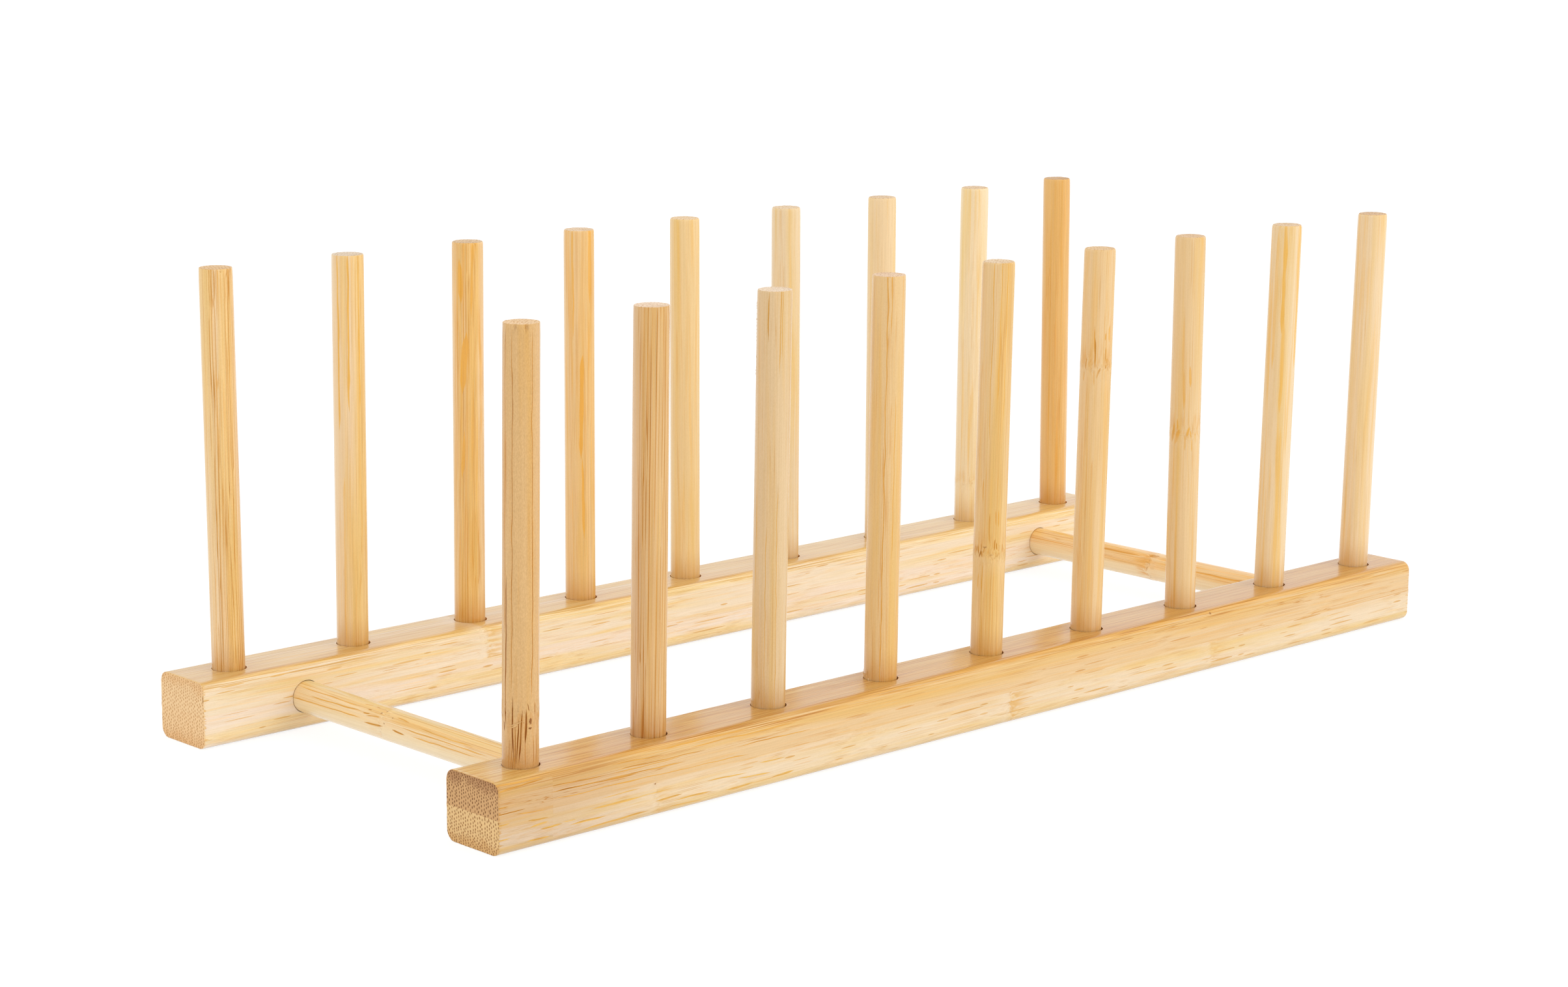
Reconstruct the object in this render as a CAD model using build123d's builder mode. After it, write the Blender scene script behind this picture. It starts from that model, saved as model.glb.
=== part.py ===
"""Plate stand of bamboo: two laminated rails, two cross bars and a row of upright posts on each rail.

The rails run along X, the front rail is on the -Y side and +Z is up.
The origin is on the resting plane, under the middle of the stand.
"""

from build123d import *
import os

# Driving dimensions, in millimetres

post_count = 9                 # on each rail, so the slots for plates are one fewer
post_pitch = 38.0              # from one post's axis to the next
post_diameter = 8.2
post_height = 100.5            # from the rail's top face to the post's top
post_top_rounding = 0.9        # the sanded rim
post_foot_chamfer = 0.6        # lets the dowel start into its hole
post_hole_depth = 12.0         # below the rail's top face, where the post is seated
post_hole_clearance = 0.25     # all round the post

rail_width = 19.0
upper_strip_thickness = 8.5
lower_strip_thickness = 8.5
rail_edge_radius = 2.6         # on the four long edges
rail_end_break = 0.3           # the softened edge round each end face
rail_end_overhang = 14.0       # from the end posts' axes to the rail's end

row_spacing = 115.5            # between the two rows of posts
cross_bar_diameter = 8.2
cross_bar_inset = 16.5         # from the end posts' axes towards the middle
cross_bar_end_chamfer = 0.6
cross_bar_hole_depth = 12.0    # into the rail's inner face, where the bar is seated
cross_bar_hole_clearance = 0.15  # all round the bar

# Sizes and places that follow from them

rail_height = lower_strip_thickness + upper_strip_thickness
post_row_length = (post_count - 1) * post_pitch
rail_length = post_row_length + 2 * rail_end_overhang
post_seat_height = rail_height - post_hole_depth
post_length = post_height + post_hole_depth
post_hole_radius = post_diameter / 2 + post_hole_clearance

glue_line_height = lower_strip_thickness  # the bores for the cross bars are centred on it
cross_bar_hole_radius = cross_bar_diameter / 2 + cross_bar_hole_clearance
cross_bar_seat = (row_spacing - rail_width) / 2 + cross_bar_hole_depth  # from the middle, in Y
cross_bar_place = post_row_length / 2 - cross_bar_inset                 # from the middle, in X

row_places = {"front": -row_spacing / 2, "back": row_spacing / 2}
bar_places = {"left": -cross_bar_place, "right": cross_bar_place}
strip_levels = {
    "lower": (0.0, lower_strip_thickness),
    "upper": (glue_line_height, upper_strip_thickness),
}


def rail_strip(row_y, level):
    """One of the two strips that a rail is glued up from, with its share of the holes."""
    bottom, thickness = strip_levels[level]
    outer_side = 0 if level == "lower" else -1
    with BuildPart() as strip:
        with BuildSketch(Plane.YZ.offset(-rail_length / 2)) as section:
            with Locations((row_y, bottom + thickness / 2)):
                Rectangle(rail_width, thickness)
            outer_corners = section.vertices().group_by(Axis.Y)[outer_side]
            fillet(outer_corners, rail_edge_radius)
        extrude(amount=rail_length)
        end_rims = strip.faces().filter_by(Axis.X).edges().filter_by(
            lambda edge: abs(edge.center().Z - glue_line_height) > rail_end_break
        )
        chamfer(end_rims, rail_end_break)

        with BuildSketch(Plane.XY.offset(rail_height)):
            with Locations((0, row_y)):
                with GridLocations(post_pitch, 0, post_count, 1):
                    Circle(post_hole_radius)
        extrude(amount=-post_hole_depth, mode=Mode.SUBTRACT)

        with BuildSketch(Plane.XZ):
            with Locations(*[(place, glue_line_height) for place in bar_places.values()]):
                Circle(cross_bar_hole_radius)
        extrude(amount=cross_bar_seat, both=True, mode=Mode.SUBTRACT)
    return strip


def post(post_x, row_y):
    """An upright dowel, seated on the floor of its blind hole."""
    with BuildPart() as dowel:
        with BuildSketch(Plane.XY.offset(post_seat_height)):
            with Locations((post_x, row_y)):
                Circle(post_diameter / 2)
        extrude(amount=post_length)
        fillet(dowel.edges().sort_by(Axis.Z)[-1], post_top_rounding)
        chamfer(dowel.edges().sort_by(Axis.Z)[0], post_foot_chamfer)
    return dowel


def cross_bar(bar_x):
    """A dowel that holds the rails apart, seated in both."""
    with BuildPart() as dowel:
        with BuildSketch(Plane.XZ):
            with Locations((bar_x, glue_line_height)):
                Circle(cross_bar_diameter / 2)
        extrude(amount=cross_bar_seat, both=True)
        end_rims = dowel.faces().filter_by(Axis.Y).edges()
        chamfer(end_rims, cross_bar_end_chamfer)
    return dowel


def write(piece, name):
    """Labels a finished piece and writes it as one file."""
    piece.part.label = name
    export_step(piece.part, f"parts/{name}.step")


os.makedirs("parts", exist_ok=True)

for row, row_y in row_places.items():
    for level in strip_levels:
        write(rail_strip(row_y, level), f"{row}_rail_{level}_strip")
    for number in range(post_count):
        post_x = number * post_pitch - post_row_length / 2
        write(post(post_x, row_y), f"{row}_post_{number + 1}")

for side, bar_x in bar_places.items():
    write(cross_bar(bar_x), f"{side}_cross_bar")
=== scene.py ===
import math

import bpy
from mathutils import Matrix, Vector


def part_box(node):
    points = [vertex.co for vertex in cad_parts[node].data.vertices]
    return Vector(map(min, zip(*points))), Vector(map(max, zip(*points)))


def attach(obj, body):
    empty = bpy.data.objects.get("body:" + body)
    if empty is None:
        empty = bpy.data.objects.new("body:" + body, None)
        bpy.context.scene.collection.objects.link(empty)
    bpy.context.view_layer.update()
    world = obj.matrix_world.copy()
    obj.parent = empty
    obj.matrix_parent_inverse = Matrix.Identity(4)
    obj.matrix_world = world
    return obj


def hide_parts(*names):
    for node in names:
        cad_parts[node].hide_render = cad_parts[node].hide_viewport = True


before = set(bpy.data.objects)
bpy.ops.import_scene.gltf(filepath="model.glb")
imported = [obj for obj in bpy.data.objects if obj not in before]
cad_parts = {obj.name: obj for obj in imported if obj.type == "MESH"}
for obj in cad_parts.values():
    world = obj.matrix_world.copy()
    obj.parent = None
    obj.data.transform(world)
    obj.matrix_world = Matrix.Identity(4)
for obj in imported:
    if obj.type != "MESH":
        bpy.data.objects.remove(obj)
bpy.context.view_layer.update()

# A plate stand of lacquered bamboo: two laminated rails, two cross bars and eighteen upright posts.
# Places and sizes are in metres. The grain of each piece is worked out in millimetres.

MM = 0.001

# Joinery
post_hole_clearance = 0.25 * MM  # all round
bar_hole_clearance = 0.06 * MM
hole_rim_break = 0.15 * MM       # the softened edge of a drilled hole
hole_sides = 72

# Edges
rail_edge_radius = 2.6 * MM
rail_end_break = 0.3 * MM
dowel_foot_chamfer = 0.6 * MM

# The side of a dowel that is at arc 0 in its marks: it faces the front left of the stand
shown_side = math.radians(-137.0)


# Node trees written as expressions

def usable(sockets, key):
    """The socket at this place in the row, or the first open one of this name."""
    if isinstance(key, int):
        return sockets[key]
    return next(s for s in sockets if s.name == key and not s.is_unavailable)


def is_vector(value):
    if isinstance(value, Wire):
        return value.socket.type in ("VECTOR", "RGBA")
    return isinstance(value, (tuple, Vector))


class Graph:
    """A node tree under construction."""

    def __init__(self, tree):
        self.tree = tree
        self.parts = {}

    def node(self, kind, settings=None, sockets=None, output=0):
        """Adds a node: its settings first, then its sockets' values or links. Returns an output, if any."""
        made = self.tree.nodes.new(kind)
        for name, value in (settings or {}).items():
            setattr(made, name, value)
        for name, value in (sockets or {}).items():
            for one in value if isinstance(value, list) else [value]:
                socket = usable(made.inputs, name)
                if isinstance(one, Wire):
                    self.tree.links.new(one.socket, socket)
                else:
                    socket.default_value = one
        return Wire(self, usable(made.outputs, output)) if made.outputs else None


class Wire:
    """A node's output. Expressions on it add the Math and Vector Math nodes that they need."""

    def __init__(self, graph, socket):
        self.graph = graph
        self.socket = socket

    def also(self, output):
        """Another output of the same node."""
        return Wire(self.graph, usable(self.socket.node.outputs, output))

    def math(self, operation, *others, first=None, output=0):
        operands = [self if first is None else first, *others]
        if first is not None:
            operands.append(self)
        vector = any(is_vector(value) for value in operands)
        kind = "ShaderNodeVectorMath" if vector else "ShaderNodeMath"
        if vector:
            operands = [(v, v, v) if isinstance(v, (int, float)) else v for v in operands]
        return self.graph.node(kind, {"operation": operation}, dict(enumerate(operands)), output)

    def __add__(self, other):
        return self.math("ADD", other)

    def __sub__(self, other):
        return self.math("SUBTRACT", other)

    def __rsub__(self, other):
        return self.math("SUBTRACT", first=other)

    def __mul__(self, other):
        return self.math("MULTIPLY", other)

    __radd__ = __add__
    __rmul__ = __mul__

    def __truediv__(self, other):
        return self.math("DIVIDE", other)

    def __rtruediv__(self, other):
        return self.math("DIVIDE", first=other)

    def __pow__(self, power):
        return self.math("POWER", power)

    def __abs__(self):
        return self.math("ABSOLUTE")

    def part(self, name):
        """A component of a vector. The vector is taken apart only once."""
        parts = self.graph.parts
        key = (self.socket.node.name, self.socket.identifier)
        if key not in parts:
            parts[key] = self.graph.node("ShaderNodeSeparateXYZ", None, {0: self})
        return parts[key].also(name)

    @property
    def x(self):
        return self.part("X")

    @property
    def y(self):
        return self.part("Y")

    @property
    def z(self):
        return self.part("Z")

    def length(self):
        return self.math("LENGTH", output="Value")

    def fade(self, low, high, rise="SMOOTHSTEP"):
        """Rises smoothly from 0 at low to 1 at high, and falls where high is the lower of the two."""
        return self.graph.node(
            "ShaderNodeMapRange",
            {"interpolation_type": rise},
            {"Value": self, "From Min": low, "From Max": high},
        )

    def share(self, low, high):
        """Rises evenly from 0 at low to 1 at high."""
        return self.fade(low, high, "LINEAR")

    def bump(self, middle, spread):
        """1 at the middle, falling to nothing a spread away on both sides."""
        return abs(self - middle).fade(spread, 0.0)


def vector(graph, x, y, z):
    return graph.node("ShaderNodeCombineXYZ", None, {"X": x, "Y": y, "Z": z})


def about_z(graph, place, angle):
    """A vector turned about the Z axis."""
    return graph.node(
        "ShaderNodeVectorRotate", {"rotation_type": "Z_AXIS"}, {"Vector": place, "Angle": angle}
    )


def noise(graph, place, detail=0.0, roughness=0.5):
    """Smooth noise from 0 to 1 with one cell for each unit of place."""
    return graph.node(
        "ShaderNodeTexNoise",
        {"noise_dimensions": "3D"},
        {"Vector": place, "Scale": 1.0, "Detail": detail, "Roughness": roughness},
        "Fac",
    )


def nearest_cell(graph, place, disorder):
    """The middle of the nearest cell of a flat pattern, with about one cell for each unit of place."""
    return graph.node(
        "ShaderNodeTexVoronoi",
        {"voronoi_dimensions": "2D", "feature": "F1"},
        {"Vector": place, "Scale": 1.0, "Randomness": disorder},
        "Position",
    )


def mixed(graph, factor, first, second):
    """A colour between two colours."""
    colours = [(*c, 1.0) if isinstance(c, tuple) else c for c in (first, second)]
    return graph.node(
        "ShaderNodeMix",
        {"data_type": "RGBA"},
        {"Factor": factor, "A": colours[0], "B": colours[1]},
        "Result",
    )


def tinted(graph, colour, red, green, blue):
    """A colour times three factors."""
    return graph.node(
        "ShaderNodeMix",
        {"data_type": "RGBA", "blend_type": "MULTIPLY"},
        {"Factor": 1.0, "A": colour, "B": vector(graph, red, green, blue)},
        "Result",
    )


def empty_graph(owner):
    """The nodes of a material or a world, all cleared."""
    owner.use_nodes = True
    owner.node_tree.nodes.clear()
    return Graph(owner.node_tree)


def add_object(name, data):
    made = bpy.data.objects.new(name, data)
    bpy.context.scene.collection.objects.link(made)
    return made


# Shapes made by rule

def shape_tree(name, inputs):
    """A Geometry Nodes tree with these inputs, named under their kinds. Returns its graph and their wires."""
    tree = bpy.data.node_groups.new(name, "GeometryNodeTree")
    labels = [(kind, label) for kind in inputs for label in inputs[kind]]
    for kind, label in labels:
        tree.interface.new_socket(name=label, in_out="INPUT", socket_type="NodeSocket" + kind)
    tree.interface.new_socket(name="Geometry", in_out="OUTPUT", socket_type="NodeSocketGeometry")
    graph = Graph(tree)
    entry = graph.node("NodeGroupInput")
    return graph, {label: entry.also(label) for kind, label in labels}


def end_tree(graph, geometry, material):
    """Closes a tree: no instances are left, and every face has its material."""
    real = graph.node("GeometryNodeRealizeInstances", None, {"Geometry": geometry})
    coated = graph.node("GeometryNodeSetMaterial", None, {"Geometry": real, "Material": material})
    graph.node("NodeGroupOutput", None, {0: coated})
    return graph.tree


def grown(tree, name, values):
    """The plain mesh that a tree makes of these values, as a piece at the origin."""
    piece = add_object(name, bpy.data.meshes.new(name))
    modifier = piece.modifiers.new("shape", "NODES")
    modifier.node_group = tree
    sockets = {i.name: i.identifier for i in tree.interface.items_tree if i.in_out == "INPUT"}
    for label, value in values.items():
        modifier[sockets[label]] = value
    view = bpy.context.evaluated_depsgraph_get()
    shape = bpy.data.meshes.new_from_object(
        piece.evaluated_get(view), preserve_all_data_layers=True, depsgraph=view
    )
    piece.modifiers.remove(modifier)
    piece.data = shape
    shape.name = name
    return piece


def moved(graph, geometry, place):
    return graph.node("GeometryNodeSetPosition", None, {"Geometry": geometry, "Position": place})


def stored(graph, geometry, name, value):
    """Writes a vector on every point, for the materials to read."""
    return graph.node(
        "GeometryNodeStoreNamedAttribute",
        {"data_type": "FLOAT_VECTOR", "domain": "POINT"},
        {"Geometry": geometry, "Name": name, "Value": value},
    )


def creased(graph, geometry, angle):
    """Smooth faces, with a crease at every edge that turns by more than the angle."""
    turn = graph.node("GeometryNodeInputMeshEdgeAngle", None, None, "Unsigned Angle")
    smooth = graph.node(
        "GeometryNodeSetShadeSmooth", {"domain": "FACE"}, {"Geometry": geometry, "Shade Smooth": True}
    )
    return graph.node(
        "GeometryNodeSetShadeSmooth",
        {"domain": "EDGE"},
        {"Geometry": smooth, "Selection": turn.math("GREATER_THAN", angle), "Shade Smooth": False},
    )


def torn_fibres(graph, given):
    """Slivers that stand off a dowel's skin, round a place given as arc and height in mm."""
    chance = graph.node(
        "FunctionNodeRandomValue",
        {"data_type": "FLOAT_VECTOR"},
        {"Min": (-1.0, -1.0, -1.0), "Max": (1.0, 1.0, 1.0), "Seed": 5},
        "Value",
    )
    place = given["Fibre Place"] + given["Fibre Spread"] * chance
    angle = place.x * MM / given["Radius"] + shown_side
    outward = vector(graph, angle.math("COSINE"), angle.math("SINE"), 0.0)
    up = vector(graph, 0.0, 0.0, given["Pivot"] + place.y * MM)
    skin_depth = 0.06 * MM
    points = graph.node(
        "GeometryNodePoints",
        None,
        {"Count": given["Fibres"], "Position": outward * (given["Radius"] - skin_depth) + up},
    )
    sliver = graph.node(
        "GeometryNodeMeshCone",
        {"fill_type": "NGON"},
        {
            "Vertices": 6,
            "Side Segments": 5,
            "Radius Top": 0.02 * MM,
            "Radius Bottom": given["Fibre Radius"],
            "Depth": given["Fibre Length"],
        },
    )
    rest = graph.node("GeometryNodeInputPosition")
    curl = (rest.z / given["Fibre Length"]) ** 2.0 * given["Fibre Length"] * 0.35
    sliver = moved(graph, sliver, rest + vector(graph, curl, 0.0, 0.0))
    sliver = stored(graph, sliver, "loose", (1.0, 1.0, 1.0))
    sideways = vector(graph, outward.y * -1.0, outward.x, 0.0)
    lie = given["Fibre Lie"]
    direction = (vector(graph, 0.0, 0.0, lie.y) + sideways * lie.x) * chance.z.math("SIGN")
    direction = direction + outward * lie.z + sideways * chance.x * 0.3
    aimed = graph.node("FunctionNodeAlignRotationToVector", {"axis": "Z"}, {"Vector": direction})
    placed = graph.node(
        "GeometryNodeInstanceOnPoints",
        None,
        {"Points": points, "Instance": sliver, "Rotation": aimed, "Scale": 0.7 + abs(chance) * 0.5},
    )
    return graph.node("GeometryNodeRealizeInstances", None, {"Geometry": placed})


def dowel_tree():
    """A turned dowel that stands on the origin: a cylinder whose rings follow the dowel's profile."""
    graph, given = shape_tree("dowel", {
        "Float": (
            "Radius", "Length", "Rim Rounding", "Foot Chamfer", "Grain Turn", "Wear", "Knot Height",
            "Knot Swelling", "Fibre Length", "Fibre Radius", "Pivot",
        ),
        "Int": ("Around", "Along", "Rim Rings", "Fibres"),
        "Vector": (
            "Grain Offset", "Chip", "Second Chip", "Fibre Place", "Fibre Spread", "Fibre Lie", "Lean", "Foot",
        ),
        "Rotation": ("Turn",),
        "Material": ("Material",),
    })
    radius, length, rounding = given["Radius"], given["Length"], given["Rim Rounding"]
    faces = {"Vertices": given["Around"], "Side Segments": given["Along"], "Fill Segments": 5}
    blank = graph.node(
        "GeometryNodeMeshCylinder", {"fill_type": "TRIANGLE_FAN"}, {**faces, "Radius": 1.0, "Depth": 1.0}
    )
    place = graph.node("GeometryNodeInputPosition")
    flat = place * (1.0, 1.0, 0.0)
    reach = flat.length()
    outward = flat / reach.math("MAXIMUM", 1e-6)
    rise = place.z + 0.5

    # The rings near the top follow the rounded rim, and those near the foot its chamfer
    rim_start = 1.0 - given["Rim Rings"] / given["Along"]
    rim_turn = rise.share(rim_start, 1.0) * (math.pi / 2)
    height = rise.share(0.0, rim_start) * (length - rounding) + rounding * rim_turn.math("SINE")
    narrowing = rounding * (1.0 - rim_turn.math("COSINE"))
    foot_cut = height.share(given["Foot Chamfer"], 0.0) * given["Foot Chamfer"]

    # Surface wear, in millimetres round and along the dowel
    wear_place = outward * (radius / MM) + vector(graph, 0.0, 0.0, height / (30 * MM))
    offset = given["Grain Offset"]
    long_wear = noise(graph, wear_place * (1.2, 1.2, 1.0) + offset, 2.0) - 0.5
    rim_wear = noise(graph, wear_place * (0.9, 0.9, 4.0) + offset * 1.7, 3.0)
    rim_share = rise.share(rim_start - 0.02, 1.0)
    side = radius - narrowing - foot_cut
    side = side - given["Wear"] * (0.3 + long_wear) - rim_share * rim_wear * given["Wear"] * 2.0
    knot = ((height - given["Pivot"]) / MM).bump(given["Knot Height"], 4.0)
    side = side + knot * given["Knot Swelling"] * (0.4 + long_wear)
    groove = abs(noise(graph, wear_place * (0.8, 0.8, 9.0) + offset, 1.0) - 0.5).fade(0.05, 0.0)
    side = side - knot * groove * given["Knot Swelling"]

    # A chip is x = arc from the shown side in mm, y = length down from the rim in mm, z = depth in mm
    around = about_z(graph, outward, -shown_side)
    arc = around.y.math("ARCTAN2", around.x) * (radius / MM)
    top_down = (length - height) / MM
    ragged = noise(graph, vector(graph, arc * 1.5, top_down * 0.8, 0.0) + offset, 2.0) * 0.7
    for chip in (given["Chip"], given["Second Chip"]):
        across = abs(arc + ragged - 0.35 - chip.x).fade(0.55, 0.15)
        down = (top_down + ragged).fade(chip.y, chip.y * 0.5)
        side = side - across * down * chip.z * MM

    final_height = height - rise.fade(0.98, 1.0) * rim_wear * given["Wear"] * 3.0
    shaped = moved(graph, blank, outward * side * reach + vector(graph, 0.0, 0.0, final_height))
    shaped = graph.node(
        "GeometryNodeJoinGeometry", None, {"Geometry": [torn_fibres(graph, given), shaped]}
    )

    # The grain: x across, y towards the dense outer side, z along, in millimetres
    rest = graph.node("GeometryNodeInputPosition")
    grain = about_z(graph, rest, given["Grain Turn"]) / MM + offset
    shaped = stored(graph, shaped, "grain", grain)
    facing = about_z(graph, graph.node("GeometryNodeInputNormal"), given["Grain Turn"])
    shaped = stored(graph, shaped, "facing", facing)
    faced = about_z(graph, rest, -shown_side)
    arc_now = faced.y.math("ARCTAN2", faced.x) * (radius / MM)
    skin = vector(graph, arc_now, rest.z / MM - given["Pivot"] / MM, faced.length() / MM)
    shaped = stored(graph, shaped, "skin", skin)

    leaning = rest + given["Lean"] * ((rest.z - given["Pivot"]) / (length - given["Pivot"]))
    shaped = moved(graph, shaped, leaning)
    shaped = graph.node(
        "GeometryNodeTransform",
        None,
        {"Geometry": shaped, "Translation": given["Foot"], "Rotation": given["Turn"]},
    )
    return end_tree(graph, creased(graph, shaped, math.radians(50)), given["Material"])


def drill(graph, radius, depth):
    """A plain cylinder for cutting a hole."""
    return graph.node(
        "GeometryNodeMeshCylinder",
        {"fill_type": "NGON"},
        {"Vertices": hole_sides, "Radius": radius, "Depth": depth},
    )


def row_of(graph, geometry, count, start, step):
    """Copies of a shape along a straight row."""
    points = graph.node(
        "GeometryNodeMeshLine", None, {"Count": count, "Start Location": start, "Offset": step}
    )
    copies = graph.node("GeometryNodeInstanceOnPoints", None, {"Points": points, "Instance": geometry})
    return graph.node("GeometryNodeRealizeInstances", None, {"Geometry": copies})


def rail_strip_tree():
    """One strip of a rail, with its outer edges rounded and its share of the holes drilled out."""
    graph, given = shape_tree("rail_strip", {
        "Float": (
            "Length", "Width", "Thickness", "Edge Radius", "End Break", "Outward", "Hole Radius", "Hole Foot",
            "Hole Top", "Hole Pitch", "Rim Break", "Bar Radius", "Bar Places", "Bar Seat", "Wear",
        ),
        "Int": ("Holes",),
        "Vector": ("Centre", "Grain Offset"),
        "Material": ("Material",),
    })
    length, width, thickness = given["Length"], given["Width"], given["Thickness"]
    radius = given["Edge Radius"]
    rings = 400
    block = graph.node(
        "GeometryNodeMeshCube",
        None,
        {"Size": (1.0, 1.0, 1.0), "Vertices X": rings + 1, "Vertices Y": 45, "Vertices Z": 21},
    )

    # The square block's section is drawn onto the strip's: y across and z up from the glue line
    unit = graph.node("GeometryNodeInputPosition")
    upward = (unit.z * given["Outward"] + 0.5) * thickness
    sideways = unit.y * width
    corner_y = (abs(sideways) - (width / 2 - radius)).math("MAXIMUM", 0.0)
    corner_z = (upward - (thickness - radius)).math("MAXIMUM", 0.0)
    corner_reach = corner_y.math("MAXIMUM", corner_z)
    corner_length = vector(graph, corner_y, corner_z, 0.0).length().math("MAXIMUM", 1e-7)
    rounding = corner_reach / corner_length
    both = corner_y.math("MINIMUM", corner_z).fade(0.0, 1e-6)
    pull = 1.0 + (rounding - 1.0) * both
    section_y = (abs(sideways) - corner_y + corner_y * pull) * sideways.math("SIGN")
    section_z = upward - corner_z + corner_z * pull

    # The last rings at each end turn in over the softened edge
    break_rings = 3
    along = abs(unit.x) * 2.0
    break_start = 1.0 - 2.0 * break_rings / rings
    turn = along.share(break_start, 1.0) * (math.pi / 2)
    ragged = noise(graph, vector(graph, unit.y * 26.0, unit.z * 12.0, unit.x), 2.0)
    edge = given["End Break"] * (0.4 + 1.2 * ragged)
    reach = along.share(0.0, break_start) * (length / 2 - edge) + edge * turn.math("SINE")
    inset = edge * (1.0 - turn.math("COSINE"))
    place_y = section_y * (1.0 - inset * 2.0 / width)
    place_z = section_z * (1.0 - inset / thickness)
    place = vector(graph, reach * unit.x.math("SIGN"), place_y, place_z * given["Outward"])
    strip = moved(graph, block, place + given["Centre"])

    # Post holes, their softened rims, and the bores of the cross bars
    overshoot = 1 * MM
    bore = drill(graph, given["Hole Radius"], given["Hole Top"] - given["Hole Foot"] + overshoot)
    rim = graph.node(
        "GeometryNodeMeshCone",
        {"fill_type": "NGON"},
        {
            "Vertices": hole_sides,
            "Radius Top": given["Hole Radius"] + given["Rim Break"],
            "Radius Bottom": given["Hole Radius"] - given["Rim Break"],
            "Depth": given["Rim Break"] * 2.0,
        },
    )
    first = vector(graph, given["Hole Pitch"] * (given["Holes"] - 1.0) * -0.5, 0.0, 0.0)
    first = first + given["Centre"] * (0.0, 1.0, 0.0)
    step = vector(graph, given["Hole Pitch"], 0.0, 0.0)
    bore_middle = (given["Hole Foot"] + given["Hole Top"] + overshoot) / 2
    rim_middle = given["Hole Top"] - given["Rim Break"]
    bores, rims = (
        row_of(graph, cutter, given["Holes"], first + vector(graph, 0.0, 0.0, height), step)
        for cutter, height in ((bore, bore_middle), (rim, rim_middle))
    )
    bar = drill(graph, given["Bar Radius"], given["Bar Seat"] * 2.0)
    laid = graph.node(
        "GeometryNodeTransform", None, {"Geometry": bar, "Rotation": (math.pi / 2, 0.0, 0.0)}
    )
    bar_start = vector(graph, given["Bar Places"] * -1.0, 0.0, given["Centre"].z)
    bars = row_of(graph, laid, 2, bar_start, vector(graph, given["Bar Places"] * 2.0, 0.0, 0.0))
    drilled = graph.node(
        "GeometryNodeMeshBoolean",
        {"operation": "DIFFERENCE", "solver": "MANIFOLD"},
        {"Mesh 1": strip, "Mesh 2": [bores, rims, bars]},
    )

    # The grain: x across, y from the glue line out, z along, in millimetres
    now = graph.node("GeometryNodeInputPosition")
    own = now - given["Centre"]
    outward = own.z * given["Outward"]
    grain = vector(graph, own.y, outward, own.x)
    drilled = stored(graph, drilled, "grain", grain / MM + given["Grain Offset"])
    drilled = stored(graph, drilled, "skin", vector(graph, own.z, own.x, own.y) / MM)
    facing = graph.node("GeometryNodeInputNormal")
    outside = vector(graph, facing.y, facing.z * given["Outward"], facing.x)
    drilled = stored(graph, drilled, "facing", outside)

    # Planing left the strip slightly uneven
    long_place = now / MM * (1 / 28, 1 / 9, 1 / 9) + given["Grain Offset"]
    uneven = noise(graph, long_place, 2.0)
    fine = noise(graph, now / MM * (1 / 5, 1 / 1.2, 1 / 1.2) + given["Grain Offset"], 1.0)
    not_glued = (outward / thickness).fade(0.02, 0.12)
    sunk = given["Wear"] * (uneven * 0.8 + fine * 0.25) * not_glued
    worn = graph.node(
        "GeometryNodeSetPosition", None, {"Geometry": drilled, "Offset": facing * sunk * -1.0}
    )
    return end_tree(graph, creased(graph, worn, math.radians(32)), given["Material"])


# Bamboo

def summed(wires):
    """The sum of a list of wires and numbers."""
    total = wires[0]
    for wire in wires[1:]:
        total = total + wire
    return total


def knot_zones(graph, skin, knots):
    """Where the culm's joints cross the piece, each given as (place along, reach, strength), in mm.

    Returns how near each point is to one, and the same for the fringe above it, the pale ring below it
    and the thin scar between the two. With a negative reach, the fringe is below and the ring above.
    """
    wobble = (noise(graph, skin * (0.45, 0.0, 0.45), 2.0, 0.6) - 0.5) * 3.0
    near, fringe, ring, scar = [], [], [], []
    for place, reach, strength in knots:
        away = (skin.y + wobble - place) * math.copysign(1.0, reach)
        reach = abs(reach)
        near.append(away.bump(0.0, reach) * strength)
        fringe.append(away.fade(-0.3, 0.8) * away.fade(reach * 2.2, reach * 0.4) * strength)
        ring.append(away.fade(0.6, -1.6) * away.fade(reach * -2.0, reach * -0.4) * strength)
        scar.append(away.bump(0.0, 0.8) * strength)
    return summed(near), summed(fringe), summed(ring), summed(scar)


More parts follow.
